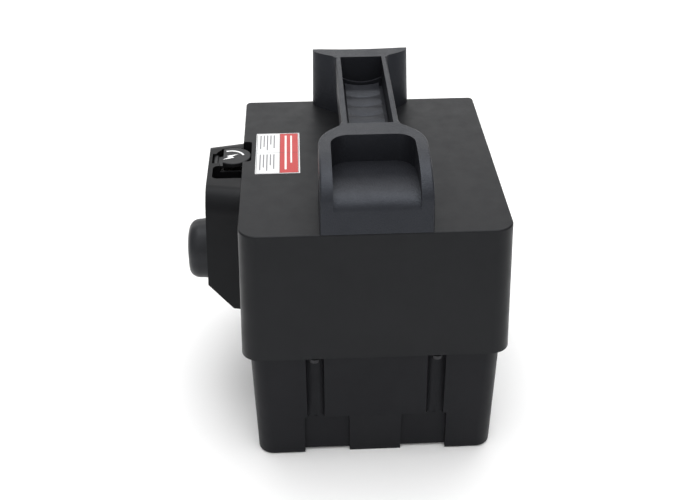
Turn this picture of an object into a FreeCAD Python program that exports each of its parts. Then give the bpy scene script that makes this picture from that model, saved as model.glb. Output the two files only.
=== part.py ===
import FreeCAD, Part
import math
import os

V = FreeCAD.Vector
X_DIR = V(1, 0, 0)
Y_DIR = V(0, 1, 0)
Z_DIR = V(0, 0, 1)

# Frame: Z = 0 is the floor under the three skids, the origin is the centre of the base.
# X runs along the carry handle, -Y is the side with the charging port. Millimetres.

# ------------------------------------------------------------------ driving dimensions
# Lower tub
TUB_HX, TUB_HY = 96.8, 82.1          # outside half-sizes at the floor
TUB_SLOPE = 0.0276                   # growth of each half-size per mm of height
TUB_TOP = 101.0                      # rim, hidden inside the lid
TUB_WALL = 2.5
TUB_CORNER = 11.0
SKID_H = 2.3                         # height of the skids under the floor plate
FLOOR_TOP = 6.0
SKID_EDGE = 49.4                     # outer skids start here
KEEL_HALF = 18.0                     # half-width of the middle skid
RECESS_X = 93.5                      # face of the low recess in each end wall
RECESS_TOP = 33.0
CHANNEL_Y, CHANNEL_R = 41.2, 6.2     # screw channels in the end walls
CHANNEL_X = 99.4
LEDGE_LOW, LEDGE_HIGH = 84.9, 88.4   # web that each lid screw pulls up against

# Lid
LID_LOW, LID_TOP = 87.9, 182.0
LID_HX_LOW, LID_HY_LOW = 104.35, 89.7
LID_HX_TOP, LID_HY_TOP = 102.2, 87.55
LID_WALL, LID_ROOF = 2.6, 2.8
LID_CORNER = 12.4
LID_FAR_CORNER = 4.0                 # the two corners at the far end are nearly sharp
LID_EDGE_R = 1.2
NOTCH_X0, NOTCH_X1 = -32.7, -1.8     # notch beside the charging flap
NOTCH_Y = -81.4
NOTCH_LOW = 169.0
BOSS_X, BOSS_R = 98.0, 4.2

# Handle
GRIP_TOP = 223.5
GRIP_LOW = 201.5
GRIP_HALF = 19.0
CHANNEL_HALF = 15.3
SLOT_FLOOR = 203.5                   # floor of the slots around the ribbed pad in the grip
RIBBED_HALF, RIBBED_FAR = 12.6, -76.6
RIM_FAR, RIM_NEAR, RIM_R = -80.0, -78.4, 31.0
END_HALF, END_DRAFT = 36.0, 0.8       # half-width of the near block, less at the top
NEAR_FACE = 102.2
FAR_FACE = -101.8
SCOOP_HALF, SCOOP_BACK, SCOOP_R = 27.3, 45.5, 12.0
SCOOP_FLOOR, SCOOP_CREST = 203.7, 207.2
ARM_RUN, ARM_DROP = 39.0, 19.5        # long round of each arm down to the near face
TOP_EDGE_R = 1.6
RIB_PITCH, RIB_COUNT, RIB_BULGE = 16.0, 6, 2.2
TROUGH_Z, TROUGH_R = 205.1, 42.0      # lowest line of the grip's trough and its radius
# Side curves of the far pillar, from its far corner to the front: on the lid and at the top
PILLAR_LOW = [(FAR_FACE, 36.0), (-95.0, 35.6), (-89.5, 31.5), (-83.5, 24.5), (-76.3, 17.5), (-66.0, 13.0)]
PILLAR_TOP = [(-104.0, 35.5), (-98.8, 34.0), (-94.8, 29.5), (-92.4, 25.0), (-90.6, 21.5), (-86.0, 19.0)]
PILLAR_DIP = 0.6

# Front housing
HOUSE_TOP = 179.8
HOUSE_OUT = -111.3                   # outer face at the top
HOUSE_OUT_LOW = -113.8               # outer face at its lower edge
HOUSE_EDGE_Z = 107.4
HOUSE_TOE_Y, HOUSE_LOW = -96.8, 89.9
HOUSE_HALF_OUT, HOUSE_HALF_IN = 39.7, 46.9
HOUSE_WALL = 2.5
HOUSE_ROUND = 15.1

# Charging port
PORT_X, PORT_Y = -15.4, -96.2
WELL_FLOOR = 163.0
DISC_Y, DISC_R = -94.3, 12.5         # round end of the flap, lying flush in the housing's top
DISC_TOP, DISC_LOW = 180.0, 177.0
DISC_START = -101.5
STRAP_X, STRAP_HALF = -12.0, 7.0     # hinge strap, sunk in a groove
STRAP_TOP, STRAP_LOW = 177.4, 175.4
GROOVE_END = -109.0
FLAP_PIN_Y, FLAP_PIN_Z = -106.6, 176.6
PIN_R, BARREL_R = 1.0, 2.0
PIN_REACH = 9.3                      # half-length of the flap's pin
SOCKET_R = 7.6
FINGER_X0, FINGER_X1 = -0.5, 18.5    # finger well beside the flap
WALL_TOP = 175.0                     # wall between the port well and the finger well

# Release paddle
PAD_HALF_X = 20.0
PAD_LOW, PAD_HIGH = 92.5, 135.0
PAD_CORNER = 18.0
PAD_OUT = -129.0
PAD_PIN_Y, PAD_PIN_Z = -106.0, 127.5
PAD_PIN_R = 1.5

# Batteries, 12 V valve-regulated blocks
BAT_L, BAT_W, BAT_H = 181.0, 77.0, 167.0
BAT_Z = 7.0
BAT_GAP = 0.5
BAT_COVER = 17.0
BAT_CORNER = 3.0
TERM_X, TERM_Z = 80.0, 163.0
LEAD_R = 2.0
LEAD_Z_HIGH, LEAD_Z_LOW = 163.0, 140.0
SIDE_RUN, END_RUN = 80.9, 96.4       # centre lines of the leads beside the batteries
END_BEND = 6.0
LUG_REACH = 8.0                      # from a terminal bolt to the end of the wire in its lug

# Fuse and output sockets
FUSE_X = 27.0
OUT_X = 29.5
AUX_Y = -103.4                       # second, thinner barrel of the negative contact

RUN_CLEAR = 0.05                     # radial clearance of a pin in its bore


# ------------------------------------------------------------------ helpers
def box(x0, x1, y0, y1, z0, z1):
    return Part.makeBox(x1 - x0, y1 - y0, z1 - z0, V(x0, y0, z0))


def cylinder(radius, start, end):
    axis = end - start
    return Part.makeCylinder(radius, axis.Length, start, axis)


def polygon_prism(points, depth):
    face = Part.Face(Part.makePolygon(points + [points[0]]))
    return face.extrude(depth)


def rounded_rect(half_x, half_y, radius, z, x0=0.0, y0=0.0, far_radius=None):
    """Closed wire in a level plane: a rectangle with round corners, those at -X with far_radius."""
    edges = []
    far = far_radius or radius
    corners = [(1, 1, 0, radius), (-1, 1, 90, far), (-1, -1, 180, far), (1, -1, 270, radius)]
    arcs = []
    for sx, sy, start, corner_r in corners:
        centre = V(x0 + sx * (half_x - corner_r), y0 + sy * (half_y - corner_r), z)
        arcs.append(Part.makeCircle(corner_r, centre, Z_DIR, start, start + 90))
    for i, arc in enumerate(arcs):
        following = arcs[(i + 1) % 4]
        edges.append(arc)
        edges.append(Part.makeLine(arc.Vertexes[-1].Point, following.Vertexes[0].Point))
    return Part.Wire(edges)


def drafted_box(low, high, radius, z_low, z_high, far_radius=None):
    """Solid between two round-cornered rectangles given as (half_x, half_y)."""
    wires = [
        rounded_rect(low[0], low[1], radius, z_low, far_radius=far_radius),
        rounded_rect(high[0], high[1], radius, z_high, far_radius=far_radius),
    ]
    return Part.makeLoft(wires, True, True)


def mirror_x(shape):
    return shape.mirror(V(0, 0, 0), X_DIR)


def mirror_y(shape):
    return shape.mirror(V(0, 0, 0), Y_DIR)


def four_ways(shape):
    pair = [shape, mirror_y(shape)]
    return pair + [mirror_x(item) for item in pair]


def fuse_all(shapes):
    result = shapes[0]
    for item in shapes[1:]:
        result = result.fuse(item)
    return result.removeSplitter()


def edges_where(shape, test):
    return [edge for edge in shape.Edges if test(edge.BoundBox)]


def screw(head_r, head_h, shank_r, shank_l, seat, direction, drive_r=1.2):
    """Pan-head screw: seat is the point under the head, direction the way the shank points."""
    head = cylinder(head_r, seat - direction * head_h, seat)
    shank = cylinder(shank_r, seat - direction * 0.2, seat + direction * shank_l)
    drive = cylinder(drive_r, seat - direction * head_h, seat - direction * (head_h * 0.45))
    return head.fuse(shank).cut(drive)


def route(points, bend_radii):
    """Wire of straight runs joined by tangent arcs through the given corner points."""
    edges = []
    start = points[0]
    for i in range(1, len(points) - 1):
        corner = points[i]
        before = (points[i - 1] - corner).normalize()
        after = (points[i + 1] - corner).normalize()
        half = before.getAngle(after) / 2.0
        radius = bend_radii[i - 1]
        reach = radius / math.tan(half)
        first = corner + before * reach
        last = corner + after * reach
        middle_dir = (before + after).normalize()
        centre = corner + middle_dir * (radius / math.sin(half))
        middle = centre - middle_dir * radius
        edges.append(Part.makeLine(start, first))
        edges.append(Part.Arc(first, middle, last).toShape())
        start = last
    edges.append(Part.makeLine(start, points[-1]))
    return Part.Wire(edges)


def lead(points, bend_radii, radius=LEAD_R):
    """Insulated wire of round section swept along a route."""
    spine = route(points, bend_radii)
    first_dir = points[1] - points[0]
    section = Part.Wire([Part.makeCircle(radius, points[0], first_dir)])
    return spine.makePipeShell([section], True, True)


# ------------------------------------------------------------------ tub
def tub_half(z):
    return (TUB_HX + TUB_SLOPE * z, TUB_HY + TUB_SLOPE * z)


def lid_inside(z):
    share = (z - LID_LOW) / (LID_TOP - LID_LOW)
    half_x = LID_HX_LOW + (LID_HX_TOP - LID_HX_LOW) * share - LID_WALL
    half_y = LID_HY_LOW + (LID_HY_TOP - LID_HY_LOW) * share - LID_WALL
    return (half_x, half_y)


def tub_cavity():
    low = tub_half(FLOOR_TOP)
    high = tub_half(TUB_TOP + 1)
    cavity = drafted_box(
        (low[0] - TUB_WALL, low[1] - TUB_WALL),
        (high[0] - TUB_WALL, high[1] - TUB_WALL),
        TUB_CORNER - TUB_WALL, FLOOR_TOP, TUB_TOP + 1)
    inner_x = RECESS_X - TUB_WALL
    behind_recess = box(inner_x, 110, -SKID_EDGE - TUB_WALL, SKID_EDGE + TUB_WALL, 0, RECESS_TOP + TUB_WALL)
    behind_channel = box(inner_x + 0.3, 110, CHANNEL_Y - 8.4, CHANNEL_Y + 8.4, 0, TUB_TOP + 1)
    for block in (behind_recess, behind_channel, mirror_y(behind_channel)):
        cavity = cavity.cut(block).cut(mirror_x(block))
    return cavity


def end_recess():
    """What is removed low in one end wall, either side of the middle skid."""
    recess = box(RECESS_X, 110, -SKID_EDGE, SKID_EDGE, -1, RECESS_TOP)
    keel = polygon_prism(
        [V(RECESS_X - 1, -KEEL_HALF, -1), V(95.0, -KEEL_HALF, -1), V(97.7, -KEEL_HALF, RECESS_TOP),
         V(RECESS_X - 1, -KEEL_HALF, RECESS_TOP)], V(0, 2 * KEEL_HALF, 0))
    return recess.cut(keel)


def make_tub():
    high = tub_half(TUB_TOP)
    tub = drafted_box((TUB_HX, TUB_HY), high, TUB_CORNER, 0, TUB_TOP)
    tub = tub.makeFillet(2.0, edges_where(tub, lambda b: b.ZMax < 0.01))
    bead_low = lid_inside(93.0)
    bead = drafted_box((bead_low[0] - 0.35, bead_low[1] - 0.35), (bead_low[0] - 0.45, bead_low[1] - 0.45),
                       10.5, 93.0, 96.0)
    tub = tub.fuse(bead)
    tub = tub.cut(tub_cavity())
    between_skids = box(-110, 110, KEEL_HALF, SKID_EDGE, -1, SKID_H)
    tub = tub.cut(between_skids).cut(mirror_y(between_skids))
    channel_low = cylinder(CHANNEL_R, V(CHANNEL_X, CHANNEL_Y, RECESS_TOP - 2), V(CHANNEL_X, CHANNEL_Y, LEDGE_LOW))
    channel_high = cylinder(CHANNEL_R, V(CHANNEL_X, CHANNEL_Y, LEDGE_HIGH), V(CHANNEL_X, CHANNEL_Y, TUB_TOP + 1))
    screw_hole = cylinder(2.3, V(BOSS_X, CHANNEL_Y, LEDGE_LOW - 1), V(BOSS_X, CHANNEL_Y, LEDGE_HIGH + 1))
    for cutter in (channel_low, channel_high, screw_hole):
        for item in four_ways(cutter):
            tub = tub.cut(item)
    recess = end_recess()
    tub = tub.cut(recess).cut(mirror_x(recess))
    return tub.removeSplitter()


# ------------------------------------------------------------------ lid
def housing_screw_points():
    return [(x, z) for z in (108.0, 160.0) for x in (-38.0, 38.0)]


def handle_screw_points():
    return [(74.0, 31.6), (74.0, -31.6), (-95.8, 27.0), (-95.8, -27.0)]


def make_lid():
    lid = drafted_box((LID_HX_LOW, LID_HY_LOW), (LID_HX_TOP, LID_HY_TOP), LID_CORNER, LID_LOW, LID_TOP,
                      LID_FAR_CORNER)
    lid = lid.makeFillet(LID_EDGE_R, edges_where(lid, lambda b: b.ZMin > LID_TOP - 0.01))
    roof_low = LID_TOP - LID_ROOF
    cavity = drafted_box(lid_inside(LID_LOW - 1), lid_inside(roof_low), LID_CORNER - LID_WALL,
                         LID_LOW - 1, roof_low, LID_FAR_CORNER - LID_WALL)
    lid = lid.cut(cavity)
    boss = cylinder(BOSS_R, V(BOSS_X, CHANNEL_Y, LEDGE_HIGH + 0.4), V(BOSS_X, CHANNEL_Y, 116))
    web = box(BOSS_X, 102.0, CHANNEL_Y - 1.5, CHANNEL_Y + 1.5, LEDGE_HIGH + 0.4, 120)
    pilot = cylinder(1.55, V(BOSS_X, CHANNEL_Y, LEDGE_HIGH - 1), V(BOSS_X, CHANNEL_Y, 108))
    for item in four_ways(boss.fuse(web).cut(pilot)):
        lid = lid.fuse(item)
    notch = box(NOTCH_X0, NOTCH_X1, -95, NOTCH_Y, NOTCH_LOW, LID_TOP + 1)
    notch = notch.makeFillet(2.5, edges_where(notch, lambda b: b.YMin > NOTCH_Y - 0.01 and b.ZLength > 5))
    ledge = box(NOTCH_X0 - 2, NOTCH_X1 + 2, -86.0, NOTCH_Y + LID_WALL, NOTCH_LOW - 2.2, LID_TOP - 1)
    lid = lid.fuse(ledge).cut(notch)
    window = box(-34, 34, -95, -80, 112, 158)
    lid = lid.cut(window)
    for x, z in housing_screw_points():
        lid = lid.cut(cylinder(1.9, V(x, -95, z), V(x, -80, z)))
    for x, y in handle_screw_points():
        lid = lid.cut(cylinder(2.3, V(x, y, roof_low - 1), V(x, y, LID_TOP + 1)))
    return lid.removeSplitter()


def make_lid_screws():
    screws = []
    for sx in (1, -1):
        for sy in (1, -1):
            seat = V(sx * BOSS_X, sy * CHANNEL_Y, LEDGE_LOW)
            screws.append(screw(3.7, 2.6, 1.5, 20.0, seat, Z_DIR))
    return Part.makeCompound(screws)


# ------------------------------------------------------------------ carry handle
def spline(points):
    curve = Part.BSplineCurve()
    curve.interpolate(points)
    return curve.toShape()


def handle_plan(end_half, z):
    """Outline of the near block and the grip at one level."""
    corner = V(57.0, end_half, z)
    slope_top = V(38.4, end_half - 6.2, z)
    slope_end = V(29.5, end_half - 14.6, z)
    grip_start = V(23.5, GRIP_HALF, z)
    grip_end = V(-92.0, GRIP_HALF, z)
    near = V(NEAR_FACE, end_half, z)
    half = [
        Part.makeLine(near, corner),
        Part.Arc(corner, V(47.4, end_half - 1.5, z), slope_top).toShape(),
        Part.makeLine(slope_top, slope_end),
        Part.Arc(slope_end, V(26.6, GRIP_HALF + 0.7, z), grip_start).toShape(),
        Part.makeLine(grip_start, grip_end),
    ]
    other = [mirror_y(edge) for edge in half]
    closing = [
        Part.makeLine(V(near.x, -near.y, z), near),
        Part.makeLine(grip_end, V(grip_end.x, -grip_end.y, z)),
    ]
    return Part.Wire(Part.__sortEdges__(half + other + closing))


def finger_gap():
    """Everything under the grip in front of the near block, with a round corner at the block."""
    low, high = LID_TOP - 1, GRIP_LOW
    x0, x1, radius = -110.0, 33.0, 11.0
    start = V(x1 - radius, -60, high)
    end = V(x1, -60, high - radius)
    middle = V(x1 - radius * 0.2929, -60, high - radius * 0.2929)
    profile = Part.Wire([
        Part.makeLine(V(x0, -60, low), V(x0, -60, high)),
        Part.makeLine(V(x0, -60, high), start),
        Part.Arc(start, middle, end).toShape(),
        Part.makeLine(end, V(x1, -60, low)),
        Part.makeLine(V(x1, -60, low), V(x0, -60, low)),
    ])
    return Part.Face(profile).extrude(V(0, 120, 0))


def pillar_outline(side, z):
    """Closed level outline from a side curve, its mirror image and straight ends."""
    points = [V(x, y, z) for x, y in side]
    other = [V(x, -y, z) for x, y in side]
    return Part.Wire([
        Part.makeLine(other[0], points[0]),
        spline(points),
        Part.makeLine(points[-1], other[-1]),
        spline(list(reversed(other))),
    ])


def far_pillar():
    """Pillar at the far end: its side flares lean back as they rise and run into the grip's rails."""
    pillar = Part.makeLoft([pillar_outline(PILLAR_LOW, LID_TOP), pillar_outline(PILLAR_TOP, GRIP_TOP)], True, True)
    radius = (30.0 * 30.0 + PILLAR_DIP * PILLAR_DIP) / (2.0 * PILLAR_DIP)
    top_z = GRIP_TOP - PILLAR_DIP + radius
    return pillar.cut(cylinder(radius, V(-110, 0, top_z), V(-87.4, 0, top_z)))


def scoop():
    """Thumb scoop in the near end: round-cornered in plan, with a humped floor."""
    plan = Part.Wire(Part.__sortEdges__([
        Part.makeLine(V(110, -SCOOP_HALF, 190), V(SCOOP_BACK + SCOOP_R, -SCOOP_HALF, 190)),
        Part.Arc(V(SCOOP_BACK + SCOOP_R, -SCOOP_HALF, 190),
                 V(SCOOP_BACK + SCOOP_R * 0.2929, -SCOOP_HALF + SCOOP_R * 0.2929, 190),
                 V(SCOOP_BACK, -SCOOP_HALF + SCOOP_R, 190)).toShape(),
        Part.makeLine(V(SCOOP_BACK, -SCOOP_HALF + SCOOP_R, 190), V(SCOOP_BACK, SCOOP_HALF - SCOOP_R, 190)),
        Part.Arc(V(SCOOP_BACK, SCOOP_HALF - SCOOP_R, 190),
                 V(SCOOP_BACK + SCOOP_R * 0.2929, SCOOP_HALF - SCOOP_R * 0.2929, 190),
                 V(SCOOP_BACK + SCOOP_R, SCOOP_HALF, 190)).toShape(),
        Part.makeLine(V(SCOOP_BACK + SCOOP_R, SCOOP_HALF, 190), V(110, SCOOP_HALF, 190)),
        Part.makeLine(V(110, SCOOP_HALF, 190), V(110, -SCOOP_HALF, 190)),
    ]))
    column = Part.Face(plan).extrude(V(0, 0, 50))
    back, front = V(40, -40, SCOOP_FLOOR + 1.2), V(NEAR_FACE + 0.5, -40, SCOOP_CREST - 13.0)
    floor_points = [
        back, V(50, -40, SCOOP_FLOOR), V(60, -40, SCOOP_FLOOR + 0.6), V(70, -40, SCOOP_CREST - 0.9),
        V(80, -40, SCOOP_CREST), V(90, -40, SCOOP_CREST - 0.5), V(NEAR_FACE - 5.2, -40, SCOOP_CREST - 2.6),
        V(NEAR_FACE - 1.4, -40, SCOOP_CREST - 5.6), V(NEAR_FACE, -40, SCOOP_CREST - 9.5), front,
    ]
    corner = V(112, -40, front.z)
    floor_profile = Part.Wire([
        spline(floor_points),
        Part.makeLine(front, corner),
        Part.makeLine(corner, V(112, -40, 245)),
        Part.makeLine(V(112, -40, 245), V(40, -40, 245)),
        Part.makeLine(V(40, -40, 245), back),
    ])
    above_floor = Part.Face(floor_profile).extrude(V(0, 80, 0))
    return column.common(above_floor)


def ribbed_pad(x_near):
    """Concave pad in the grip with a row of low finger waves across it."""
    centre_z = TROUGH_Z + TROUGH_R
    pad = box(RIBBED_FAR, x_near, -RIBBED_HALF, RIBBED_HALF, SLOT_FLOOR - 0.5, TROUGH_Z + 2.8)
    pad = pad.cut(cylinder(TROUGH_R, V(RIBBED_FAR - 1, 0, centre_z), V(x_near + 1, 0, centre_z)))
    radius = (RIB_PITCH * RIB_PITCH / 4.0 + RIB_BULGE * RIB_BULGE) / (2.0 * RIB_BULGE)
    wave_z = TROUGH_Z + RIB_BULGE - radius
    for i in range(RIB_COUNT):
        x = 18.0 - RIB_PITCH * i
        wave = cylinder(radius, V(x, -RIBBED_HALF, wave_z), V(x, RIBBED_HALF, wave_z))
        limits = box(max(x - 9, RIBBED_FAR), x + 9, -RIBBED_HALF, RIBBED_HALF, SLOT_FLOOR, TROUGH_Z + 4)
        pad = pad.fuse(wave.common(limits))
    return pad


def grip_channel():
    """Trough along the grip around its ribbed pad, a rim across it and the pocket in the far pillar."""
    x_near = 28.0
    channel = box(RIM_FAR, x_near, -CHANNEL_HALF, CHANNEL_HALF, SLOT_FLOOR, GRIP_TOP + 1)
    rim_z = TROUGH_Z + 1.6 + RIM_R
    rim = box(RIM_FAR, RIM_NEAR, -CHANNEL_HALF - 1, CHANNEL_HALF + 1, SLOT_FLOOR - 0.5, TROUGH_Z + 10)
    rim = rim.cut(cylinder(RIM_R, V(RIM_FAR - 1, 0, rim_z), V(RIM_NEAR + 1, 0, rim_z)))
    channel = channel.cut(ribbed_pad(x_near + 1)).cut(rim)
    pocket = box(-87.2, RIM_FAR, -CHANNEL_HALF, CHANNEL_HALF, 186.0, GRIP_TOP + 1)
    return channel.fuse(pocket)


def arm_corner():
    """What is removed above the long elliptical round at the near end of the handle."""
    centre_x, centre_z = NEAR_FACE - ARM_RUN, GRIP_TOP - ARM_DROP
    low, high = V(NEAR_FACE, -46, centre_z), V(centre_x, -46, GRIP_TOP)
    ellipse = Part.Ellipse(low, high, V(centre_x, -46, centre_z))
    above = V(centre_x, -46, GRIP_TOP + 5)
    beyond = V(NEAR_FACE + 5, -46, GRIP_TOP + 5)
    below = V(NEAR_FACE + 5, -46, centre_z)
    profile = Part.Wire([
        Part.ArcOfEllipse(ellipse, 0, math.pi / 2).toShape(),
        Part.makeLine(high, above),
        Part.makeLine(above, beyond),
        Part.makeLine(beyond, below),
        Part.makeLine(below, low),
    ])
    return Part.Face(profile).extrude(V(0, 92, 0))


def top_edges(body):
    """Outer edges along the top of the near block and the grip, down to the near face."""
    def on_top(bounds):
        beside = bounds.YMin > 10 or bounds.YMax < -10
        return beside and bounds.ZMin > GRIP_TOP - ARM_DROP - 0.1 and bounds.ZMax > GRIP_TOP - 0.1
    return edges_where(body, on_top)


def make_handle():
    body = Part.makeLoft([handle_plan(END_HALF, LID_TOP), handle_plan(END_HALF - END_DRAFT, GRIP_TOP)], True, True)
    body = body.cut(finger_gap())
    body = body.cut(arm_corner())
    body = body.makeFillet(TOP_EDGE_R, top_edges(body))
    body = body.fuse(far_pillar())
    body = body.cut(scoop())
    body = body.cut(grip_channel())
    core = box(48, 98, -23, 23, LID_TOP - 1, SCOOP_FLOOR - 4)
    body = body.cut(core)
    for x, y in handle_screw_points():
        body = body.cut(cylinder(1.55, V(x, y, LID_TOP - 1), V(x, y, LID_TOP + 12.5)))
    return body.removeSplitter()


def make_handle_screws():
    screws = []
    for x, y in handle_screw_points():
        screws.append(screw(3.6, 2.2, 1.5, 14.0, V(x, y, LID_TOP - LID_ROOF), Z_DIR))
    return Part.makeCompound(screws)


# ------------------------------------------------------------------ front housing
def lid_face_y(z):
    share = (z - LID_LOW) / (LID_TOP - LID_LOW)
    return -(LID_HY_LOW + (LID_HY_TOP - LID_HY_LOW) * share)


def housing_front_profile(half, inset, y):
    """Front elevation of the housing at one distance from the lid, with large top corners."""
    radius = HOUSE_ROUND - inset
    top = HOUSE_TOP - inset
    arc_x = half - radius
    diagonal = radius * math.sqrt(0.5)
    right = Part.Arc(V(half, y, top - radius), V(arc_x + diagonal, y, top - radius + diagonal),
                     V(arc_x, y, top)).toShape()
    left = Part.Arc(V(-arc_x, y, top), V(-arc_x - diagonal, y, top - radius + diagonal),
                    V(-half, y, top - radius)).toShape()
    return Part.Wire([
        Part.makeLine(V(half, y, 80), V(half, y, top - radius)), right,
        Part.makeLine(V(arc_x, y, top), V(-arc_x, y, top)), left,
        Part.makeLine(V(-half, y, top - radius), V(-half, y, 80)),
        Part.makeLine(V(-half, y, 80), V(half, y, 80)),
    ])


def housing_block(inset, back_y=0.0):
    """Outside of the housing moved inwards by inset; back_y moves its open back into the lid."""
    low_y, high_y = lid_face_y(HOUSE_LOW) + back_y, lid_face_y(HOUSE_TOP) + back_y
    section = [
        V(-60, high_y - 0.05, HOUSE_TOP + 1), V(-60, HOUSE_OUT + inset, HOUSE_TOP + 1),
        V(-60, HOUSE_OUT_LOW + inset, HOUSE_EDGE_Z + inset * 0.41),
        V(-60, HOUSE_TOE_Y + inset * 0.41, HOUSE_LOW + inset),
        V(-60, low_y - 0.05, HOUSE_LOW + inset),
    ]
    side_cut = polygon_prism(section, V(120, 0, 0))
    taper = (HOUSE_HALF_IN - HOUSE_HALF_OUT) / 30.0
    back_half = HOUSE_HALF_IN + taper * back_y - inset
    tapered = Part.makeLoft([
        housing_front_profile(back_half, inset, -86.0 + back_y),
        housing_front_profile(HOUSE_HALF_OUT - inset, inset, -116.0)], True, True)
    return side_cut.common(tapered)


def port_well():
    """Room for the charging socket under the flap, the flap's own seat and its strap's groove."""
    room = box(-30.5, -2.5, -105.0, -84.0, WELL_FLOOR, 176.5)
    seat = cylinder(DISC_R + 0.4, V(PORT_X, DISC_Y, 172.0), V(PORT_X, DISC_Y, HOUSE_TOP + 1))
    groove = box(STRAP_X - STRAP_HALF - 0.3, STRAP_X + STRAP_HALF + 0.3, GROOVE_END, -100.0, 174.2, HOUSE_TOP + 1)
    step = box(-6.0, 0.0, -103.4, -84.0, WALL_TOP, HOUSE_TOP + 1)
    swing = box(-26.4, -4.6, -103.2, -98.0, 176.0, HOUSE_TOP + 1)
    return fuse_all([room, seat, groove, step, swing])


def finger_well():
    """Round-cornered dip beside the flap, with a ramp that rises away from it."""
    middle = (FINGER_X0 + FINGER_X1) / 2.0
    plan = rounded_rect(FINGER_X1 - middle, 13.5, 4.0, 150.0, middle, -94.4)
    column = Part.Face(plan).extrude(V(0, 0, 50))
    y0 = -110.0
    low = V(FINGER_X0 + 3.5, y0, WELL_FLOOR)
    high = V(FINGER_X1, y0, HOUSE_TOP + 0.2)
    ramp = Part.Wire([
        Part.makeLine(V(-5.0, y0, WELL_FLOOR), low),
        Part.Arc(low, V(FINGER_X1 - 5.0, y0, WELL_FLOOR + 5.6), high).toShape(),
        Part.makeLine(high, V(-5.0, y0, HOUSE_TOP + 0.2)),
        Part.makeLine(V(-5.0, y0, HOUSE_TOP + 0.2), V(-5.0, y0, WELL_FLOOR)),
    ])
    return column.common(Part.Face(ramp).extrude(V(0, 30, 0)))


def paddle_recess(grow):
    """Opening behind the paddle, with a notch above it for the swing of the paddle's neck."""
    recess = box(-15.0 - grow, 15.0 + grow, -120, -98.5 + grow, 88, 131.5 + grow)
    notch = box(-10.5 - grow, 10.5 + grow, -120, -98.5 + grow, 131.0, 133.2 + grow)
    return recess.fuse(notch)


def make_housing():
    shell = housing_block(0.0)
    hollow = housing_block(HOUSE_WALL, 4.0)
    port_skin = box(-32.5, 21.0, -107.2, -84.0, WELL_FLOOR - 2.2, HOUSE_TOP + 1)
    finger_skin = box(FINGER_X0 - 2.0, 21.0, -110.2, -84.0, WELL_FLOOR - 2.2, HOUSE_TOP + 1)
    hinge_skin = box(-23.5, 2.0, -111.2, -100.0, 172.0, HOUSE_TOP + 1)
    for block in (port_skin, finger_skin, hinge_skin, paddle_recess(2.2)):
        hollow = hollow.cut(block)
    housing = shell.cut(hollow)
    for cutter in (port_well(), finger_well(), paddle_recess(0.0)):
        housing = housing.cut(cutter)
    for x, z in housing_screw_points():
        boss = cylinder(4.0, V(x, lid_face_y(z) - 0.05, z), V(x, -106.0, z))
        pilot = cylinder(1.45, V(x, -84, z), V(x, -103.0, z))
        housing = housing.fuse(boss.common(shell)).cut(pilot)
    housing = housing.cut(cylinder(SOCKET_R + 0.3, V(PORT_X, PORT_Y, 150), V(PORT_X, PORT_Y, 170)))
    housing = housing.cut(cylinder(PIN_R, V(STRAP_X - PIN_REACH, FLAP_PIN_Y, FLAP_PIN_Z),
                                   V(STRAP_X + PIN_REACH, FLAP_PIN_Y, FLAP_PIN_Z)))
    housing = housing.cut(cylinder(PAD_PIN_R, V(-16.8, PAD_PIN_Y, PAD_PIN_Z), V(16.8, PAD_PIN_Y, PAD_PIN_Z)))
    for x in (-OUT_X, OUT_X):
        housing = housing.cut(box(x - 6.3, x + 6.3, -107.3, -92.7, 85, 112))
    for x in socket_screw_x():
        housing = housing.cut(cylinder(1.1, V(x, PORT_Y, 155), V(x, PORT_Y, 168)))
    return housing.removeSplitter()


def make_housing_screws():
    screws = []
    for x, z in housing_screw_points():
        inner = lid_face_y(z) + LID_WALL + 0.12
        screws.append(screw(3.4, 2.2, 1.4, 14.0, V(x, inner, z), V(0, -1, 0)))
    return Part.makeCompound(screws)


# ------------------------------------------------------------------ charging port
def socket_screw_x():
    return (PORT_X - 10.2, PORT_X + 10.2)


def make_flap():
    """Round cap with a lower hinge strap, a barrel for the pin and a plug that closes the socket."""
    disc = cylinder(DISC_R, V(PORT_X, DISC_Y, DISC_LOW), V(PORT_X, DISC_Y, DISC_TOP))
    disc = disc.cut(box(PORT_X - 20, PORT_X + 20, -110, DISC_START, DISC_LOW - 1, DISC_TOP + 1))
    disc = disc.makeFillet(0.8, edges_where(disc, lambda b: b.ZMin > DISC_TOP - 0.01))
    x0, x1 = STRAP_X - STRAP_HALF, STRAP_X + STRAP_HALF
    strap = box(x0, x1, FLAP_PIN_Y, DISC_START + 3.0, STRAP_LOW, STRAP_TOP)
    barrel = cylinder(BARREL_R, V(x0, FLAP_PIN_Y, FLAP_PIN_Z), V(x1, FLAP_PIN_Y, FLAP_PIN_Z))
    plug = cylinder(5.6, V(PORT_X, PORT_Y, 172.6), V(PORT_X, PORT_Y, DISC_LOW + 0.5))
    flap = fuse_all([disc, strap, barrel, plug])
    bore = cylinder(PIN_R + RUN_CLEAR, V(x0 - 1, FLAP_PIN_Y, FLAP_PIN_Z), V(x1 + 1, FLAP_PIN_Y, FLAP_PIN_Z))
    return flap.cut(bore).removeSplitter()


def make_flap_pin():
    return cylinder(PIN_R, V(STRAP_X - PIN_REACH, FLAP_PIN_Y, FLAP_PIN_Z),
                    V(STRAP_X + PIN_REACH, FLAP_PIN_Y, FLAP_PIN_Z))


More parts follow.
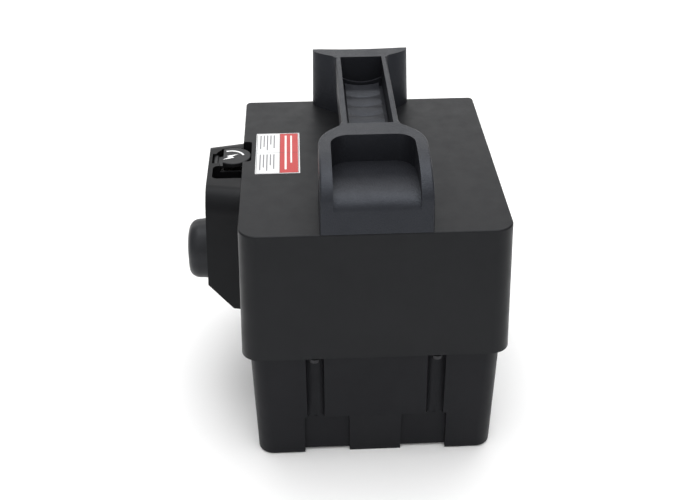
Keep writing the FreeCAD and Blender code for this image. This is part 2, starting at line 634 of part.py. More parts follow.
def make_flap_symbol():
    """Plain lightning bolt beside a plain arc, printed on the flap."""
    centre = V(-13.4, -96.2, DISC_TOP)
    points = [(0.9, 6.6), (-2.9, -0.9), (-0.4, -0.9), (-0.9, -6.6), (2.9, 0.9), (0.4, 0.9)]
    bolt = polygon_prism([V(x, y, 0) for x, y in points], V(0, 0, 0.15))
    bolt.rotate(V(0, 0, 0), Z_DIR, 45)
    bolt.translate(centre)
    ring = cylinder(9.9, centre, centre + V(0, 0, 0.15))
    ring = ring.cut(cylinder(8.5, centre - V(0, 0, 1), centre + V(0, 0, 1)))
    wedge = [centre + V(x, y, 0) for x, y in ((0, 0), (-4.1, 15.5), (-20, 10), (-14.9, -5.7))]
    arc = ring.common(polygon_prism(wedge, V(0, 0, 1)))
    return Part.makeCompound([bolt, arc])


def make_socket_shell():
    """Round three-pole charging socket: barrel, flange and open mouth."""
    barrel = cylinder(SOCKET_R, V(PORT_X, PORT_Y, 149), V(PORT_X, PORT_Y, 170.4))
    flange = box(PORT_X - 12.6, PORT_X + 12.6, PORT_Y - 6.0, PORT_Y + 6.0, WELL_FLOOR, WELL_FLOOR + 2.0)
    shell = fuse_all([barrel, flange])
    shell = shell.cut(cylinder(6.4, V(PORT_X, PORT_Y, 151), V(PORT_X, PORT_Y, 171)))
    shell = shell.cut(cylinder(5.2, V(PORT_X, PORT_Y, 148), V(PORT_X, PORT_Y, 152)))
    for x in socket_screw_x():
        shell = shell.cut(cylinder(1.4, V(x, PORT_Y, 160), V(x, PORT_Y, 168)))
    return shell.removeSplitter()


def socket_contact_points():
    points = []
    for angle in (90.0, 210.0, 330.0):
        reach = math.radians(angle)
        points.append((PORT_X + 3.2 * math.cos(reach), PORT_Y + 3.2 * math.sin(reach)))
    return points


def make_socket_insert():
    insert = cylinder(6.4, V(PORT_X, PORT_Y, 151), V(PORT_X, PORT_Y, 167.5))
    for x, y in socket_contact_points():
        insert = insert.cut(cylinder(1.6, V(x, y, 150), V(x, y, 168)))
    return insert


def make_socket_contacts():
    contacts = []
    for x, y in socket_contact_points():
        sleeve = cylinder(1.6, V(x, y, 144.0), V(x, y, 166.5))
        mouth = cylinder(1.1, V(x, y, 156.0), V(x, y, 167.0))
        contacts.append(sleeve.cut(mouth))
    return Part.makeCompound(contacts)


def make_socket_screws():
    screws = []
    for x in socket_screw_x():
        screws.append(screw(2.2, 1.4, 1.1, 4.0, V(x, PORT_Y, WELL_FLOOR + 2.0), V(0, 0, -1), 0.8))
    return Part.makeCompound(screws)


# ------------------------------------------------------------------ release paddle
def paddle_outline(half_x, low, high, radius, y):
    mid = (low + high) / 2.0
    wire = rounded_rect(half_x, (high - low) / 2.0, radius, 0)
    wire.rotate(V(0, 0, 0), X_DIR, 90)
    wire.translate(V(0, y, mid))
    return wire


def make_paddle():
    base_y = HOUSE_OUT_LOW - 1.0
    skirt = Part.makeLoft([
        paddle_outline(PAD_HALF_X, PAD_LOW, PAD_HIGH, PAD_CORNER, base_y),
        paddle_outline(PAD_HALF_X - 0.4, PAD_LOW + 0.4, PAD_HIGH - 0.5, PAD_CORNER - 0.4, base_y - 5.5)], True, True)
    dome = Part.makeLoft([
        paddle_outline(PAD_HALF_X - 0.4, PAD_LOW + 0.4, PAD_HIGH - 0.5, PAD_CORNER - 0.4, base_y - 5.5),
        paddle_outline(PAD_HALF_X - 2.0, PAD_LOW + 1.6, PAD_HIGH - 2.6, PAD_CORNER - 1.4, base_y - 11.5),
        paddle_outline(PAD_HALF_X - 6.5, PAD_LOW + 5.0, PAD_HIGH - 8.0, PAD_CORNER - 6.0, PAD_OUT)], True, False)
    hollow = Part.makeLoft([
        paddle_outline(PAD_HALF_X - 3.2, PAD_LOW + 3.2, PAD_HIGH - 3.2, PAD_CORNER - 3.2, base_y + 1),
        paddle_outline(PAD_HALF_X - 6.0, PAD_LOW + 6.0, PAD_HIGH - 7.0, PAD_CORNER - 5.0, base_y - 8.5)], True, True)
    cap = skirt.fuse(dome).cut(hollow)
    lip_gap = box(-10, 10, base_y - 7.0, base_y + 1, PAD_LOW - 1, PAD_LOW + 5)
    cap = cap.cut(lip_gap)
    neck = box(-10.0, 10.0, base_y - 10.0, PAD_PIN_Y, PAD_PIN_Z - 4.0, PAD_PIN_Z + 4.0)
    eye = cylinder(4.0, V(-10.0, PAD_PIN_Y, PAD_PIN_Z), V(10.0, PAD_PIN_Y, PAD_PIN_Z))
    tail = box(-10.0, 10.0, PAD_PIN_Y - 2.0, PAD_PIN_Y + 1.5, 99.5, PAD_PIN_Z)
    nose = box(-10.0, 10.0, PAD_PIN_Y - 2.0, PAD_PIN_Y + 5.5, 99.5, 103.5)
    bore = cylinder(PAD_PIN_R + RUN_CLEAR, V(-30, PAD_PIN_Y, PAD_PIN_Z), V(30, PAD_PIN_Y, PAD_PIN_Z))
    return fuse_all([cap, neck, eye, tail, nose]).cut(bore)


def make_paddle_pin():
    return cylinder(PAD_PIN_R, V(-16.8, PAD_PIN_Y, PAD_PIN_Z), V(16.8, PAD_PIN_Y, PAD_PIN_Z))


def make_paddle_spring():
    """Torsion spring on the paddle pin: coils beside the eye and two straight legs."""
    wire_r, coil_r, pitch, turns = 0.45, 2.6, 1.05, 3
    helix = Part.makeHelix(pitch, pitch * turns, coil_r)
    helix.rotate(V(0, 0, 0), Y_DIR, 90)
    helix.translate(V(10.9, PAD_PIN_Y, PAD_PIN_Z))
    start = helix.Edges[0].Vertexes[0].Point
    tangent = helix.Edges[0].tangentAt(helix.Edges[0].FirstParameter)
    profile = Part.Wire([Part.makeCircle(wire_r, start, tangent)])
    return Part.Wire(helix.Edges).makePipeShell([profile], True, True)


# ------------------------------------------------------------------ label
def make_label():
    return box(-45.1, 17.7, -78.3, -47.4, LID_TOP, LID_TOP + 0.2)


# ------------------------------------------------------------------ batteries
def battery_y(side):
    """Middle of the battery on the given side, -1 for the port side."""
    return side * (BAT_W + BAT_GAP) / 2.0


def block(half_x, half_y, radius, y_mid, z0, z1):
    wire = rounded_rect(half_x, half_y, radius, z0, 0.0, y_mid)
    return Part.Face(wire).extrude(V(0, 0, z1 - z0))


def make_battery_case(side):
    y_mid = battery_y(side)
    top = BAT_Z + BAT_H - BAT_COVER
    case = block(BAT_L / 2, BAT_W / 2, BAT_CORNER, y_mid, BAT_Z, top)
    cell = (BAT_L - 5.0 - 5 * 1.5) / 6.0
    for i in range(6):
        x0 = -BAT_L / 2 + 2.5 + i * (cell + 1.5)
        case = case.cut(box(x0, x0 + cell, y_mid - 36.0, y_mid + 36.0, BAT_Z + 3, top + 1))
    return case


def make_plate_stacks(side):
    y_mid = battery_y(side)
    cell = (BAT_L - 5.0 - 5 * 1.5) / 6.0
    stacks = []
    for i in range(6):
        x0 = -BAT_L / 2 + 2.5 + i * (cell + 1.5)
        stack = box(x0 + 0.4, x0 + cell - 0.4, y_mid - 35.5, y_mid + 35.5, BAT_Z + 3, 140)
        strap_x = x0 + cell / 2
        strap = box(strap_x - 4, strap_x + 4, y_mid - 30, y_mid + 30, 140, 146)
        stacks.append(stack.fuse(strap))
    return Part.makeCompound(stacks)


def make_battery_cover(side):
    y_mid = battery_y(side)
    low, top = BAT_Z + BAT_H - BAT_COVER, BAT_Z + BAT_H
    cover = block(BAT_L / 2, BAT_W / 2, BAT_CORNER, y_mid, low, top)
    y_face = side * (BAT_W + BAT_GAP / 2)
    for sx in (-1, 1):
        x_in, x_out = sx * 70.5, sx * 95.0
        y_in = y_face - side * 17.0
        corner = box(min(x_in, x_out), max(x_in, x_out), min(y_in, y_face + side * 5), max(y_in, y_face + side * 5),
                     low + 1.0, top + 1)
        cover = cover.cut(corner)
        post = box(sx * TERM_X - 6.2, sx * TERM_X + 6.2, y_face - side * 2.1 - 2.2, y_face - side * 2.1 + 2.2,
                   low - 1, low + 3)
        cover = cover.cut(post)
    well = box(-60, 60, y_mid - 9, y_mid + 9, top - 1.5, top + 1)
    underside = box(-66, 66, y_mid - 34, y_mid + 34, low - 1, top - 4.5)
    return cover.cut(well).cut(underside)


def make_vent_strip(side):
    y_mid = battery_y(side)
    top = BAT_Z + BAT_H
    return box(-59.7, 59.7, y_mid - 8.7, y_mid + 8.7, top - 1.5, top)


def make_terminals(side):
    """Two upright lead tabs, flush with the battery's broad side."""
    y_face = side * (BAT_W + BAT_GAP / 2)
    tabs = []
    for sx in (-1, 1):
        y0, y1 = sorted((y_face - side * 0.2, y_face - side * 4.0))
        tab = box(sx * TERM_X - 6.0, sx * TERM_X + 6.0, y0, y1, BAT_Z + BAT_H - BAT_COVER, TERM_Z + 7.0)
        hole = cylinder(2.6, V(sx * TERM_X, y0 - 1, TERM_Z), V(sx * TERM_X, y1 + 1, TERM_Z))
        tabs.append(tab.cut(hole))
    return Part.makeCompound(tabs)


def terminal_positions():
    return [(sx, side) for side in (-1, 1) for sx in (-1, 1)]


def make_terminal_bolts():
    """M5 bolt with its nut through each terminal tab and cable lug."""
    bolts = []
    for sx, side in terminal_positions():
        y_face = side * (BAT_W + BAT_GAP / 2)
        out = V(0, side, 0)
        seat = V(sx * TERM_X, y_face + side * 1.3, TERM_Z)
        head = cylinder(4.2, seat, seat + out * 2.6)
        shank = cylinder(2.45, seat - out * 9.5, seat + out * 0.2)
        nut_face = y_face - side * 4.0
        nut = hex_nut(4.0, 2.45, 3.4, V(sx * TERM_X, nut_face, TERM_Z), V(0, -side, 0))
        bolts.append(head.fuse(shank))
        bolts.append(nut)
    return Part.makeCompound(bolts)


def hex_nut(across_half, bore_r, height, start, direction):
    points = []
    for i in range(6):
        angle = math.radians(60 * i + 30)
        reach = across_half / math.cos(math.radians(30))
        points.append(start + X_DIR * (reach * math.cos(angle)) + Z_DIR * (reach * math.sin(angle)))
    nut = polygon_prism(points, direction * height)
    return nut.cut(cylinder(bore_r + 0.05, start - direction, start + direction * (height + 1)))


def lug(sx, side, barrel_dir, start_x, z):
    """Ring lug on the outside of a terminal tab, with its barrel along +X or -X."""
    y_face = side * (BAT_W + BAT_GAP / 2)
    ring_in = V(start_x, y_face - side * 0.2, z)
    ring_out = V(start_x, y_face + side * 1.3, z)
    ring = cylinder(5.0, ring_in, ring_out)
    tongue_end = start_x + barrel_dir * 8.0
    y0, y1 = sorted((ring_in.y, ring_out.y))
    tongue = box(min(start_x, tongue_end), max(start_x, tongue_end), y0, y1, z - 2.6, z + 2.6)
    barrel = cylinder(2.9, V(start_x + barrel_dir * 7.0, side * SIDE_RUN, z),
                      V(start_x + barrel_dir * 10.2, side * SIDE_RUN, z))
    neck = box(min(start_x + barrel_dir * 6.0, start_x + barrel_dir * 8.5),
               max(start_x + barrel_dir * 6.0, start_x + barrel_dir * 8.5),
               min(y0, side * SIDE_RUN), max(y1, side * SIDE_RUN), z - 2.4, z + 2.4)
    body = fuse_all([ring, tongue, neck, barrel])
    body = body.cut(cylinder(2.6, V(start_x, ring_in.y - side * 2, z), V(start_x, ring_out.y + side * 6, z)))
    return body.cut(cylinder(LEAD_R, V(start_x + barrel_dir * 8.0, side * SIDE_RUN, z),
                             V(start_x + barrel_dir * 15.0, side * SIDE_RUN, z)))


LUG_SPECS = [(1, -1, 1), (1, 1, 1), (-1, 1, -1), (-1, -1, 1)]


def make_lugs():
    return Part.makeCompound([lug(sx, side, d, sx * TERM_X, TERM_Z) for sx, side, d in LUG_SPECS])


# ------------------------------------------------------------------ wiring
def make_series_lead():
    x0 = TERM_X + LUG_REACH
    z = LEAD_Z_HIGH
    points = [V(x0, -SIDE_RUN, z), V(END_RUN, -SIDE_RUN, z), V(END_RUN, SIDE_RUN, z), V(x0, SIDE_RUN, z)]
    return lead(points, [END_BEND, END_BEND])


def make_positive_lead():
    """From the far battery round the -X end and along the port side to the fuse."""
    z = LEAD_Z_HIGH
    low = LEAD_Z_LOW
    points = [V(-TERM_X - LUG_REACH, SIDE_RUN, z), V(-END_RUN, SIDE_RUN, z), V(-END_RUN, 40.0, z),
              V(-END_RUN, 0.0, low), V(-END_RUN, -SIDE_RUN, low), V(FUSE_X, -SIDE_RUN, low),
              V(FUSE_X, -95.0, low)]
    return lead(points, [END_BEND, 30.0, 30.0, 7.5, 9.0])


def make_negative_lead():
    z = LEAD_Z_HIGH
    exit_z = 154.0
    points = [V(-TERM_X + LUG_REACH, -SIDE_RUN, z), V(-60.0, -SIDE_RUN, z), V(-46.0, -SIDE_RUN, exit_z),
              V(-OUT_X, -SIDE_RUN, exit_z), V(-OUT_X, -99.0, exit_z), V(-OUT_X, -99.0, 113.0)]
    return lead(points, [14.0, 14.0, 8.0, 9.0])


def make_fused_lead():
    points = [V(FUSE_X, -101.5, 130.0), V(FUSE_X, -101.5, 127.0), V(OUT_X, -99.0, 122.6), V(OUT_X, -99.0, 113.0)]
    return lead(points, [5.0, 5.0])


def make_charge_leads():
    """Thin leads from two of the socket's contacts to the fuse and to the negative contact."""
    contacts = socket_contact_points()
    plus_x, plus_y = contacts[2]
    minus_x, minus_y = contacts[1]
    plus = lead([V(plus_x, plus_y, 144.0), V(plus_x, plus_y, 137.0), V(20.95, plus_y, 137.0)], [5.5], 1.1)
    minus = lead([V(minus_x, minus_y, 144.0), V(minus_x, minus_y, 138.0), V(-OUT_X, AUX_Y, 124.0),
                  V(-OUT_X, AUX_Y, 113.0)], [8.0, 8.0], 1.1)
    return plus, minus


def make_fuse_holder():
    holder = box(FUSE_X - 6.0, FUSE_X + 6.0, -108.0, -95.0, 130.0, 152.0)
    return holder.cut(box(FUSE_X - 4.5, FUSE_X + 4.5, -106.5, -95.0 + 1, 141.0, 153.0))


def make_fuse():
    body = box(FUSE_X - 4.2, FUSE_X + 4.2, -106.2, -98.0, 144.0, 156.0)
    blades = box(FUSE_X - 3.4, FUSE_X - 2.2, -105.5, -99.0, 141.0, 144.5)
    other = box(FUSE_X + 2.2, FUSE_X + 3.4, -105.5, -99.0, 141.0, 144.5)
    return fuse_all([body, blades, other])


def make_output_bodies():
    bodies = []
    for x in (-OUT_X, OUT_X):
        shell = box(x - 6.0, x + 6.0, -107.0, -93.0, 97.5, 120.0)
        shell = shell.cut(box(x - 4.4, x + 4.4, -105.4, -94.6, 97.0, 112.0))
        shell = shell.cut(cylinder(2.6, V(x, -99.0, 111.0), V(x, -99.0, 121.0)))
        shell = shell.cut(cylinder(1.9, V(x, AUX_Y, 111.0), V(x, AUX_Y, 121.0)))
        bodies.append(shell)
    return Part.makeCompound(bodies)


def make_output_contacts():
    contacts = []
    for x in (-OUT_X, OUT_X):
        blade = box(x - 3.0, x + 3.0, -100.0, -98.0, 100.0, 112.0)
        barrel = cylinder(2.6, V(x, -99.0, 112.0), V(x, -99.0, 116.0)).cut(
            cylinder(LEAD_R, V(x, -99.0, 113.0), V(x, -99.0, 117.0)))
        contact = blade.fuse(barrel)
        if x < 0:
            foot = box(x - 1.8, x + 1.8, AUX_Y - 1.8, -99.0, 111.0, 112.0)
            thin = cylinder(1.65, V(x, AUX_Y, 112.0), V(x, AUX_Y, 116.0))
            contact = fuse_all([contact, foot, thin])
            contact = contact.cut(cylinder(1.1, V(x, AUX_Y, 113.0), V(x, AUX_Y, 117.0)))
        contacts.append(contact)
    return Part.makeCompound(contacts)


# ------------------------------------------------------------------ foam
def make_base_pad():
    pad = box(-86.0, 86.0, -74.0, 74.0, FLOOR_TOP, BAT_Z)
    return pad


def make_side_pads():
    pad = box(-70, 70, 77.4, 79.4, 20.0, 80.0)
    return Part.makeCompound([pad, mirror_y(pad)])


def make_top_pads():
    top = BAT_Z + BAT_H
    pads = []
    for side in (-1, 1):
        y_mid = battery_y(side)
        for x0, x1 in ((-58, -12), (12, 58)):
            pads.append(box(x0, x1, y_mid - 16, y_mid + 16, top + 0.05, LID_TOP - LID_ROOF - 0.05))
    return Part.makeCompound(pads)


# ------------------------------------------------------------------ export
def build_parts():
    plus, minus = make_charge_leads()
    parts = {
        "tub": make_tub(),
        "lid": make_lid(),
        "lid_screws": make_lid_screws(),
        "carry_handle": make_handle(),
        "handle_screws": make_handle_screws(),
        "port_housing": make_housing(),
        "housing_screws": make_housing_screws(),
        "charge_flap": make_flap(),
        "flap_pin": make_flap_pin(),
        "flap_symbol": make_flap_symbol(),
        "socket_shell": make_socket_shell(),
        "socket_insert": make_socket_insert(),
        "socket_contacts": make_socket_contacts(),
        "socket_screws": make_socket_screws(),
        "release_paddle": make_paddle(),
        "paddle_pin": make_paddle_pin(),
        "paddle_spring": make_paddle_spring(),
        "label_plate": make_label(),
        "terminal_bolts": make_terminal_bolts(),
        "cable_lugs": make_lugs(),
        "series_lead": make_series_lead(),
        "positive_lead": make_positive_lead(),
        "negative_lead": make_negative_lead(),
        "fused_lead": make_fused_lead(),
        "charge_lead_plus": plus,
        "charge_lead_minus": minus,
        "fuse_holder": make_fuse_holder(),
        "fuse": make_fuse(),
        "output_bodies": make_output_bodies(),
        "output_contacts": make_output_contacts(),
        "base_pad": make_base_pad(),
        "side_pads": make_side_pads(),
        "top_pads": make_top_pads(),
    }
    for name, side in (("a", -1), ("b", 1)):
        parts["battery_case_" + name] = make_battery_case(side)
        parts["plate_stacks_" + name] = make_plate_stacks(side)
        parts["battery_cover_" + name] = make_battery_cover(side)
        parts["vent_strip_" + name] = make_vent_strip(side)
        parts["terminals_" + name] = make_terminals(side)
    return parts


os.makedirs("parts", exist_ok=True)
for node, shape in build_parts().items():
    shape.exportStep("parts/" + node + ".step")
    print(node, round(shape.Volume / 1000.0, 2), "cm3", "solids", len(shape.Solids), "valid", shape.isValid())
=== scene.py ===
import math

import bpy
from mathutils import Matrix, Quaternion, Vector

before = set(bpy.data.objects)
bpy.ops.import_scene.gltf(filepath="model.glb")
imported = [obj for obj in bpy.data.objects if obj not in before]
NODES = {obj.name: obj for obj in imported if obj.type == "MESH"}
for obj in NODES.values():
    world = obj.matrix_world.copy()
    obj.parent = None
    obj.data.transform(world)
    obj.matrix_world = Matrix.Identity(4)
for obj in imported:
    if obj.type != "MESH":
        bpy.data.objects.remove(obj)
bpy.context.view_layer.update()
MM = 0.001

# Camera, placed and turned to the view the object is matched in
CAMERA_PLACE = Vector((0.718322, -0.044084, 0.548578))
CAMERA_YAW, CAMERA_PITCH, CAMERA_ROLL = 0.0522, 0.5467, 0.002
CAMERA_LENS, CAMERA_SENSOR = 59.16857, 36.0
CAMERA_SHIFT = (-0.01207, -0.00481)

# Softened edges of the mouldings that show, in millimetres
EDGE_WIDTHS = {"lid": 0.5, "tub": 0.6, "carry_handle": 0.9, "port_housing": 0.6, "charge_flap": 0.4}

# Printed label, in millimetres of the frame: the film's inner outline, its red band and its bars
LABEL_X0, LABEL_X1 = -44.4, 17.0
LABEL_Y0, LABEL_Y1 = -77.8, -48.1
BAND_Y0, BAND_Y1 = -61.4, -48.6
RULE_W, BAR_H, BAR_PITCH, FIRST_BAR_Y = 0.35, 0.9, 2.4, -75.6
INK, RED, GREY, PALE = (0.03, 0.03, 0.03), (0.42, 0.02, 0.02), (0.16, 0.16, 0.17), (0.7, 0.68, 0.66)
BAR_COLUMNS = [(-42.0, (22.0, 18.5, 24.0, 15.0, 21.0)), (-11.5, (24.0, 20.0, 25.0, 17.0, 22.5))]


# ---------------------------------------------------------------- node helpers
def new_material(name):
    mat = bpy.data.materials.new(name)
    mat.use_nodes = True
    tree = mat.node_tree
    tree.nodes.clear()
    out = tree.nodes.new("ShaderNodeOutputMaterial")
    shader = tree.nodes.new("ShaderNodeBsdfPrincipled")
    tree.links.new(shader.outputs["BSDF"], out.inputs["Surface"])
    return mat, tree, shader


def coords(tree):
    """Object coordinates in millimetres."""
    tex = tree.nodes.new("ShaderNodeTexCoord")
    mapping = tree.nodes.new("ShaderNodeMapping")
    mapping.inputs["Scale"].default_value = (1.0 / MM, 1.0 / MM, 1.0 / MM)
    tree.links.new(tex.outputs["Object"], mapping.inputs["Vector"])
    return mapping.outputs["Vector"]


def noise(tree, vector, size_mm, detail=3.0, rough=0.55):
    node = tree.nodes.new("ShaderNodeTexNoise")
    node.inputs["Scale"].default_value = 1.0 / size_mm
    node.inputs["Detail"].default_value = detail
    node.inputs["Roughness"].default_value = rough
    tree.links.new(vector, node.inputs["Vector"])
    return node.outputs["Fac"]


def ramp(tree, fac, low, high, a=0.3, b=0.7):
    node = tree.nodes.new("ShaderNodeMapRange")
    node.inputs["From Min"].default_value = a
    node.inputs["From Max"].default_value = b
    node.inputs["To Min"].default_value = low
    node.inputs["To Max"].default_value = high
    tree.links.new(fac, node.inputs["Value"])
    return node.outputs["Result"]


def mix_color(tree, fac, a, b):
    node = tree.nodes.new("ShaderNodeMix")
    node.data_type = "RGBA"
    node.inputs["A"].default_value = (*a, 1)
    node.inputs["B"].default_value = (*b, 1)
    tree.links.new(fac, node.inputs["Factor"])
    return node.outputs["Result"]


def bump(tree, shader, height, distance_mm, strength=1.0, normal=None):
    node = tree.nodes.new("ShaderNodeBump")
    node.inputs["Distance"].default_value = distance_mm * MM
    node.inputs["Strength"].default_value = strength
    tree.links.new(height, node.inputs["Height"])
    if normal is not None:
        tree.links.new(normal, node.inputs["Normal"])
    tree.links.new(node.outputs["Normal"], shader.inputs["Normal"])
    return node.outputs["Normal"]


def moulded(name, colour, light, rough, grain_mm, grain_depth, spec=0.4, tint=(0.92, 0.95, 1.0)):
    """Moulded plastic: broad colour drift, fine grain and slightly uneven gloss."""
    uneven = 0.06
    mat, tree, shader = new_material(name)
    vector = coords(tree)
    drift = noise(tree, vector, 45.0, 2.0)
    speckle = noise(tree, vector, 1.2, 2.0)
    base = mix_color(tree, ramp(tree, drift, 0.0, 1.0), colour, light)
    tree.links.new(base, shader.inputs["Base Color"])
    gloss = noise(tree, vector, 14.0, 4.0, 0.6)
    tree.links.new(ramp(tree, gloss, rough - uneven, rough + uneven), shader.inputs["Roughness"])
    shader.inputs["Specular IOR Level"].default_value = spec
    shader.inputs["Specular Tint"].default_value = (*tint, 1)
    grain = noise(tree, vector, grain_mm, 3.0, 0.6)
    first = bump(tree, shader, grain, grain_depth, 0.6)
    bump(tree, shader, speckle, grain_depth * 0.5, 0.3, first)
    return mat


def metal(name, colour, rough):
    """Plain metal with a mottled tone and uneven polish."""
    uneven = 0.08
    mat, tree, shader = new_material(name)
    vector = coords(tree)
    tone = noise(tree, vector, 3.0, 4.0)
    dark = [c * 0.75 for c in colour]
    tree.links.new(mix_color(tree, ramp(tree, tone, 0.0, 1.0), dark, colour), shader.inputs["Base Color"])
    shader.inputs["Metallic"].default_value = 1.0
    polish = noise(tree, vector, 1.0, 3.0)
    tree.links.new(ramp(tree, polish, rough - uneven, rough + uneven), shader.inputs["Roughness"])
    bump(tree, shader, noise(tree, vector, 0.4, 2.0), 0.02, 0.3)
    return mat


# ---------------------------------------------------------------- printed label
def step_between(tree, value, low, high):
    """1 where low < value < high, else 0."""
    node = tree.nodes.new("ShaderNodeMath")
    node.operation = "COMPARE"
    node.inputs[1].default_value = (low + high) / 2.0
    node.inputs[2].default_value = (high - low) / 2.0
    tree.links.new(value, node.inputs[0])
    return node.outputs["Value"]


def both(tree, a, b):
    node = tree.nodes.new("ShaderNodeMath")
    node.operation = "MULTIPLY"
    tree.links.new(a, node.inputs[0])
    tree.links.new(b, node.inputs[1])
    return node.outputs["Value"]


def paint(tree, base, mask, colour):
    node = tree.nodes.new("ShaderNodeMix")
    node.data_type = "RGBA"
    node.inputs["B"].default_value = (*colour, 1)
    tree.links.new(base, node.inputs["A"])
    tree.links.new(mask, node.inputs["Factor"])
    return node.outputs["Result"]


def label_fields():
    """Fields of the label as x0, x1, y0, y1 and a colour, later ones on top of earlier ones."""
    fields = [(LABEL_X0, LABEL_X1, BAND_Y0, BAND_Y1, RED)]
    for y in (LABEL_Y0, BAND_Y0 - 0.2, BAND_Y1 + 0.2):
        fields.append((LABEL_X0, LABEL_X1, y, y + RULE_W, INK))
    for x in (LABEL_X0 - 0.2, -14.0, LABEL_X1 - 0.2):
        fields.append((x, x + RULE_W, LABEL_Y0, LABEL_Y1, INK))
    for x, lengths in BAR_COLUMNS:
        for row, length in enumerate(lengths):
            y = FIRST_BAR_Y + row * BAR_PITCH
            fields.append((x, x + length, y, y + BAR_H, GREY))
    fields.append((-41.0, 12.0, -58.0, -56.6, PALE))
    fields.append((-41.0, 2.0, -54.0, -52.8, PALE))
    return fields


def label_film():
    """White film: a red band along the outer edge, dark rules and rows of plain grey bars."""
    mat, tree, shader = new_material("label_film")
    vector = coords(tree)
    split = tree.nodes.new("ShaderNodeSeparateXYZ")
    tree.links.new(vector, split.inputs["Vector"])
    x, y = split.outputs["X"], split.outputs["Y"]
    base = mix_color(tree, noise(tree, vector, 18.0, 3.0), (0.66, 0.66, 0.67), (0.74, 0.74, 0.74))
    for x0, x1, y0, y1, colour in label_fields():
        mask = both(tree, step_between(tree, x, x0, x1), step_between(tree, y, y0, y1))
        base = paint(tree, base, mask, colour)
    tree.links.new(base, shader.inputs["Base Color"])
    tree.links.new(ramp(tree, noise(tree, vector, 9.0, 3.0), 0.28, 0.38), shader.inputs["Roughness"])
    bump(tree, shader, noise(tree, vector, 6.0, 2.0), 0.05, 0.3)
    return mat


# ---------------------------------------------------------------- materials
# Each row: name, darker tone, lighter tone, roughness, grain size and depth in millimetres, specular
MAT = {
    "lid": moulded(
        "lid_moulding", (0.0066, 0.0067, 0.0073), (0.0080, 0.0081, 0.0088), 0.42, 0.55, 0.03, 0.19),
    "tub": moulded(
        "tub_moulding", (0.0062, 0.0062, 0.0075), (0.0076, 0.0076, 0.0090), 0.46, 0.6, 0.03, 0.16),
    "handle": moulded(
        "handle_moulding", (0.0105, 0.0109, 0.0132), (0.0145, 0.0150, 0.0180), 0.42, 1.1, 0.50, 0.30,
        tint=(0.80, 0.87, 1.0)),
    # the housing is set darker than the lid's plastic, painting in the shade its face sits in: painted shade
    "housing": moulded(
        "housing_moulding_painted_shade", (0.0042, 0.0042, 0.0046), (0.0054, 0.0054, 0.0059), 0.40, 0.55, 0.03, 0.13),
    "flap": moulded(
        "flap_moulding", (0.008, 0.008, 0.0086), (0.010, 0.010, 0.0106), 0.38, 0.5, 0.03, 0.26),
    # the paddle is set lighter than the lid's plastic, painting in the light it catches: painted light
    "paddle": moulded(
        "paddle_moulding_painted_light", (0.0130, 0.0132, 0.0148), (0.0160, 0.0163, 0.0182), 0.42, 0.6, 0.03, 0.24),
    "grey_case": moulded("battery_grey", (0.13, 0.14, 0.15), (0.16, 0.17, 0.18), 0.5, 0.7, 0.04),
    "grey_cover": moulded("battery_cover_grey", (0.10, 0.11, 0.12), (0.12, 0.13, 0.14), 0.5, 0.7, 0.04),
    "black_insert": moulded("insert_black", (0.012, 0.012, 0.012), (0.018, 0.018, 0.018), 0.4, 0.4, 0.02),
    "foam": moulded("foam_black", (0.03, 0.03, 0.03), (0.05, 0.05, 0.05), 0.9, 1.2, 0.4),
    "red_wire": moulded("wire_red", (0.40, 0.02, 0.015), (0.48, 0.03, 0.02), 0.35, 0.8, 0.02),
    "black_wire": moulded("wire_black", (0.015, 0.015, 0.015), (0.02, 0.02, 0.02), 0.35, 0.8, 0.02),
    "fuse": moulded("fuse_amber", (0.60, 0.25, 0.03), (0.66, 0.30, 0.04), 0.25, 0.8, 0.01),
    "steel": metal("zinc_steel", (0.62, 0.62, 0.60), 0.32),
    "black_steel": metal("blacked_steel", (0.045, 0.045, 0.048), 0.42),
    "lead": metal("cast_lead", (0.40, 0.41, 0.43), 0.55),
    "brass": metal("plated_brass", (0.80, 0.62, 0.30), 0.28),
    "copper": metal("tinned_copper", (0.78, 0.60, 0.48), 0.32),
    "label": label_film(),
    "white": moulded("print_white", (0.78, 0.78, 0.78), (0.82, 0.82, 0.82), 0.45, 0.8, 0.01),
}

NODE_MATERIAL = {
    "lid": "lid", "tub": "tub", "carry_handle": "handle", "port_housing": "housing", "charge_flap": "flap",
    "release_paddle": "paddle", "flap_symbol": "white", "label_plate": "label",
    "socket_shell": "steel", "socket_insert": "black_insert", "socket_contacts": "brass",
    "lid_screws": "black_steel", "handle_screws": "steel", "housing_screws": "steel",
    "socket_screws": "steel",
    "flap_pin": "steel", "paddle_pin": "steel", "paddle_spring": "steel", "terminal_bolts": "steel",
    "cable_lugs": "copper", "series_lead": "black_wire", "positive_lead": "red_wire",
    "negative_lead": "black_wire", "fused_lead": "red_wire", "charge_lead_plus": "red_wire",
    "charge_lead_minus": "black_wire", "fuse_holder": "black_insert", "fuse": "fuse",
    "output_bodies": "black_insert", "output_contacts": "brass",
    "base_pad": "foam", "side_pads": "foam", "top_pads": "foam",
}
for side in "ab":
    NODE_MATERIAL["battery_case_" + side] = "grey_case"
    NODE_MATERIAL["battery_cover_" + side] = "grey_cover"
    NODE_MATERIAL["vent_strip_" + side] = "grey_cover"
    NODE_MATERIAL["plate_stacks_" + side] = "lead"
    NODE_MATERIAL["terminals_" + side] = "lead"

for name, obj in NODES.items():
    obj.data.materials.clear()
    obj.data.materials.append(MAT[NODE_MATERIAL[name]])


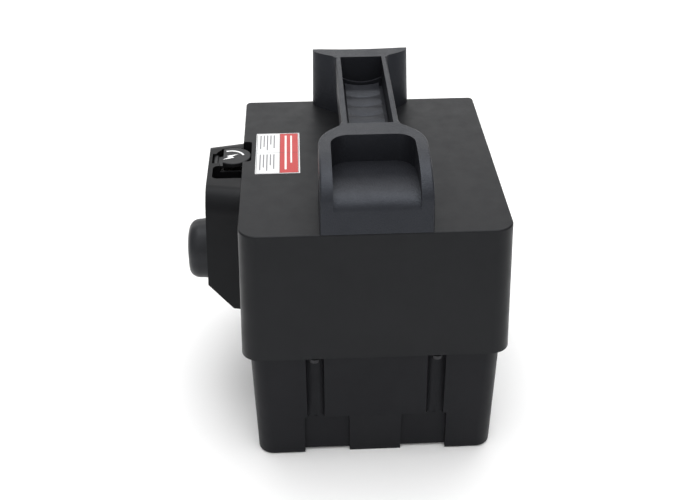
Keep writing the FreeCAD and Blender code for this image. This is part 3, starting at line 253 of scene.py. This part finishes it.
# ---------------------------------------------------------------- edge rounding on the CAD mouldings
def soften(obj, width_mm):
    """Clean the CAD mesh's flat faces, round its sharp edges and even out the shading."""
    weld = obj.modifiers.new("weld", "WELD")
    weld.merge_threshold = 0.00001
    planar = obj.modifiers.new("planar", "DECIMATE")
    planar.decimate_type = "DISSOLVE"
    planar.angle_limit = math.radians(0.6)
    bevel = obj.modifiers.new("bevel", "BEVEL")
    bevel.width = width_mm * MM
    bevel.segments = 3
    bevel.limit_method = "ANGLE"
    bevel.angle_limit = math.radians(28.0)
    bevel.miter_outer = "MITER_ARC"
    bevel.use_clamp_overlap = True
    normals = obj.modifiers.new("normals", "WEIGHTED_NORMAL")
    normals.mode = "FACE_AREA"
    normals.weight = 60
    for poly in obj.data.polygons:
        poly.use_smooth = True


for name, width in EDGE_WIDTHS.items():
    soften(NODES[name], width)


# ---------------------------------------------------------------- studio
def area_light(name, size, power, location, target):
    """Rectangular light at location facing target; size is its width and height in metres."""
    data = bpy.data.lights.new(name, "AREA")
    data.shape = "RECTANGLE"
    data.size, data.size_y = size
    data.energy = power
    obj = bpy.data.objects.new(name, data)
    bpy.context.scene.collection.objects.link(obj)
    obj.location = location
    obj.rotation_mode = "QUATERNION"
    obj.rotation_quaternion = (Vector(target) - Vector(location)).to_track_quat("-Z", "Y")


def make_floor():
    mesh = bpy.data.meshes.new("floor")
    size = 6.0
    corners = [(-size, -size, 0), (size, -size, 0), (size, size, 0), (-size, size, 0)]
    mesh.from_pydata(corners, [], [(0, 1, 2, 3)])
    obj = bpy.data.objects.new("floor", mesh)
    bpy.context.scene.collection.objects.link(obj)
    mat, tree, shader = new_material("pale_floor")
    shader.inputs["Base Color"].default_value = (0.93, 0.93, 0.93, 1)
    shader.inputs["Roughness"].default_value = 0.8
    shader.inputs["Specular IOR Level"].default_value = 0.1
    mesh.materials.append(mat)


def make_world():
    """White surroundings, darker to the two sides so that the upright edges read dark."""
    world = bpy.data.worlds.new("studio")
    bpy.context.scene.world = world
    world.use_nodes = True
    tree = world.node_tree
    background = tree.nodes["Background"]
    background.inputs["Color"].default_value = (1, 1, 1, 1)
    direction = tree.nodes.new("ShaderNodeTexCoord")
    split = tree.nodes.new("ShaderNodeSeparateXYZ")
    tree.links.new(direction.outputs["Generated"], split.inputs["Vector"])
    sideways = tree.nodes.new("ShaderNodeMath")
    sideways.operation = "ABSOLUTE"
    tree.links.new(split.outputs["Y"], sideways.inputs[0])
    tree.links.new(ramp(tree, sideways.outputs["Value"], 0.9, 0.3, 0.35, 0.85), background.inputs["Strength"])


def make_camera():
    data = bpy.data.cameras.new("camera")
    data.sensor_width = CAMERA_SENSOR
    data.lens = CAMERA_LENS
    data.shift_x, data.shift_y = CAMERA_SHIFT
    data.clip_start = 0.01
    obj = bpy.data.objects.new("camera", data)
    bpy.context.scene.collection.objects.link(obj)
    level = math.cos(CAMERA_PITCH)
    forward = Vector((-math.cos(CAMERA_YAW) * level, math.sin(CAMERA_YAW) * level, -math.sin(CAMERA_PITCH)))
    obj.location = CAMERA_PLACE
    obj.rotation_mode = "QUATERNION"
    roll = Quaternion(forward, CAMERA_ROLL)
    obj.rotation_quaternion = roll @ forward.to_track_quat("-Z", "Y")
    bpy.context.scene.camera = obj


def make_lights():
    area_light("overhead", (1.2, 1.2), 15.5, (-0.25, 0.05, 1.5), (0, 0, 0.15))
    area_light("behind", (2.6, 1.0), 4.4, (-2.2, -0.3, 0.75), (0, 0, 0.2))
    area_light("port_side", (1.4, 0.5), 1.2, (0.0, -1.5, 1.2), (0, 0, 0.15))
    area_light("front", (1.6, 1.6), 11.0, (1.0, 0.05, 1.7), (0.2, 0, 0.0))


make_floor()
make_world()
make_camera()
make_lights()
bpy.context.scene.view_settings.view_transform = "Standard"
